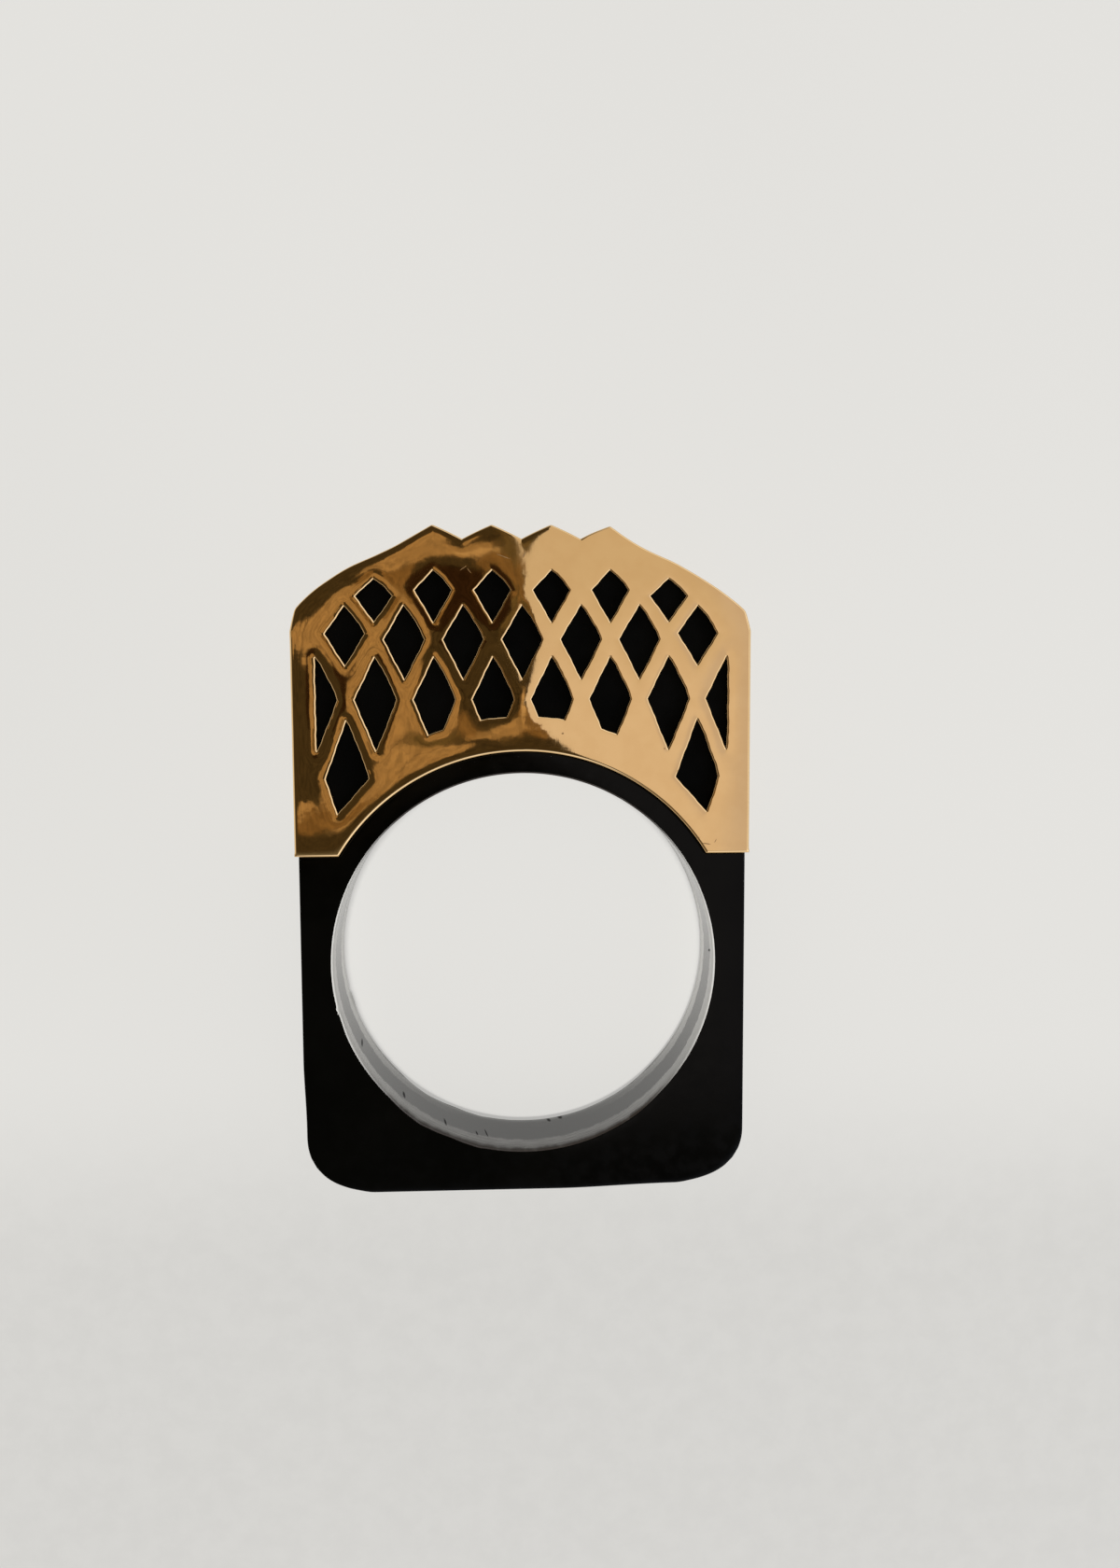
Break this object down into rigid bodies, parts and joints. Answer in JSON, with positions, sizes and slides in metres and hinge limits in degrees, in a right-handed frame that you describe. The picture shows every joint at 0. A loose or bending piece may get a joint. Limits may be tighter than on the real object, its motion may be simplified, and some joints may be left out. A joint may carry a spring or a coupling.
{
  "type": "finger ring",
  "caption": "Flat-sided black resin finger ring with a round finger hole, topped by a pierced gold cap with a kite-shaped lattice and a ridged crest.",
  "frame": {"origin": "centre of the finger hole, halfway through the band", "axes": "+Z along the finger hole, out of the front face; +Y from the finger hole towards the ridged top; +X to the right seen from the front"},
  "size_m": [0.0204, 0.0302, 0.0044],
  "materials": {
    "black_resin": "polished black resin",
    "yellow_gold": "mirror polished yellow gold"
  },
  "bodies": {
    "root": {"resin_band": "black_resin", "gold_cap": "yellow_gold"}
  },
  "joints": []
}
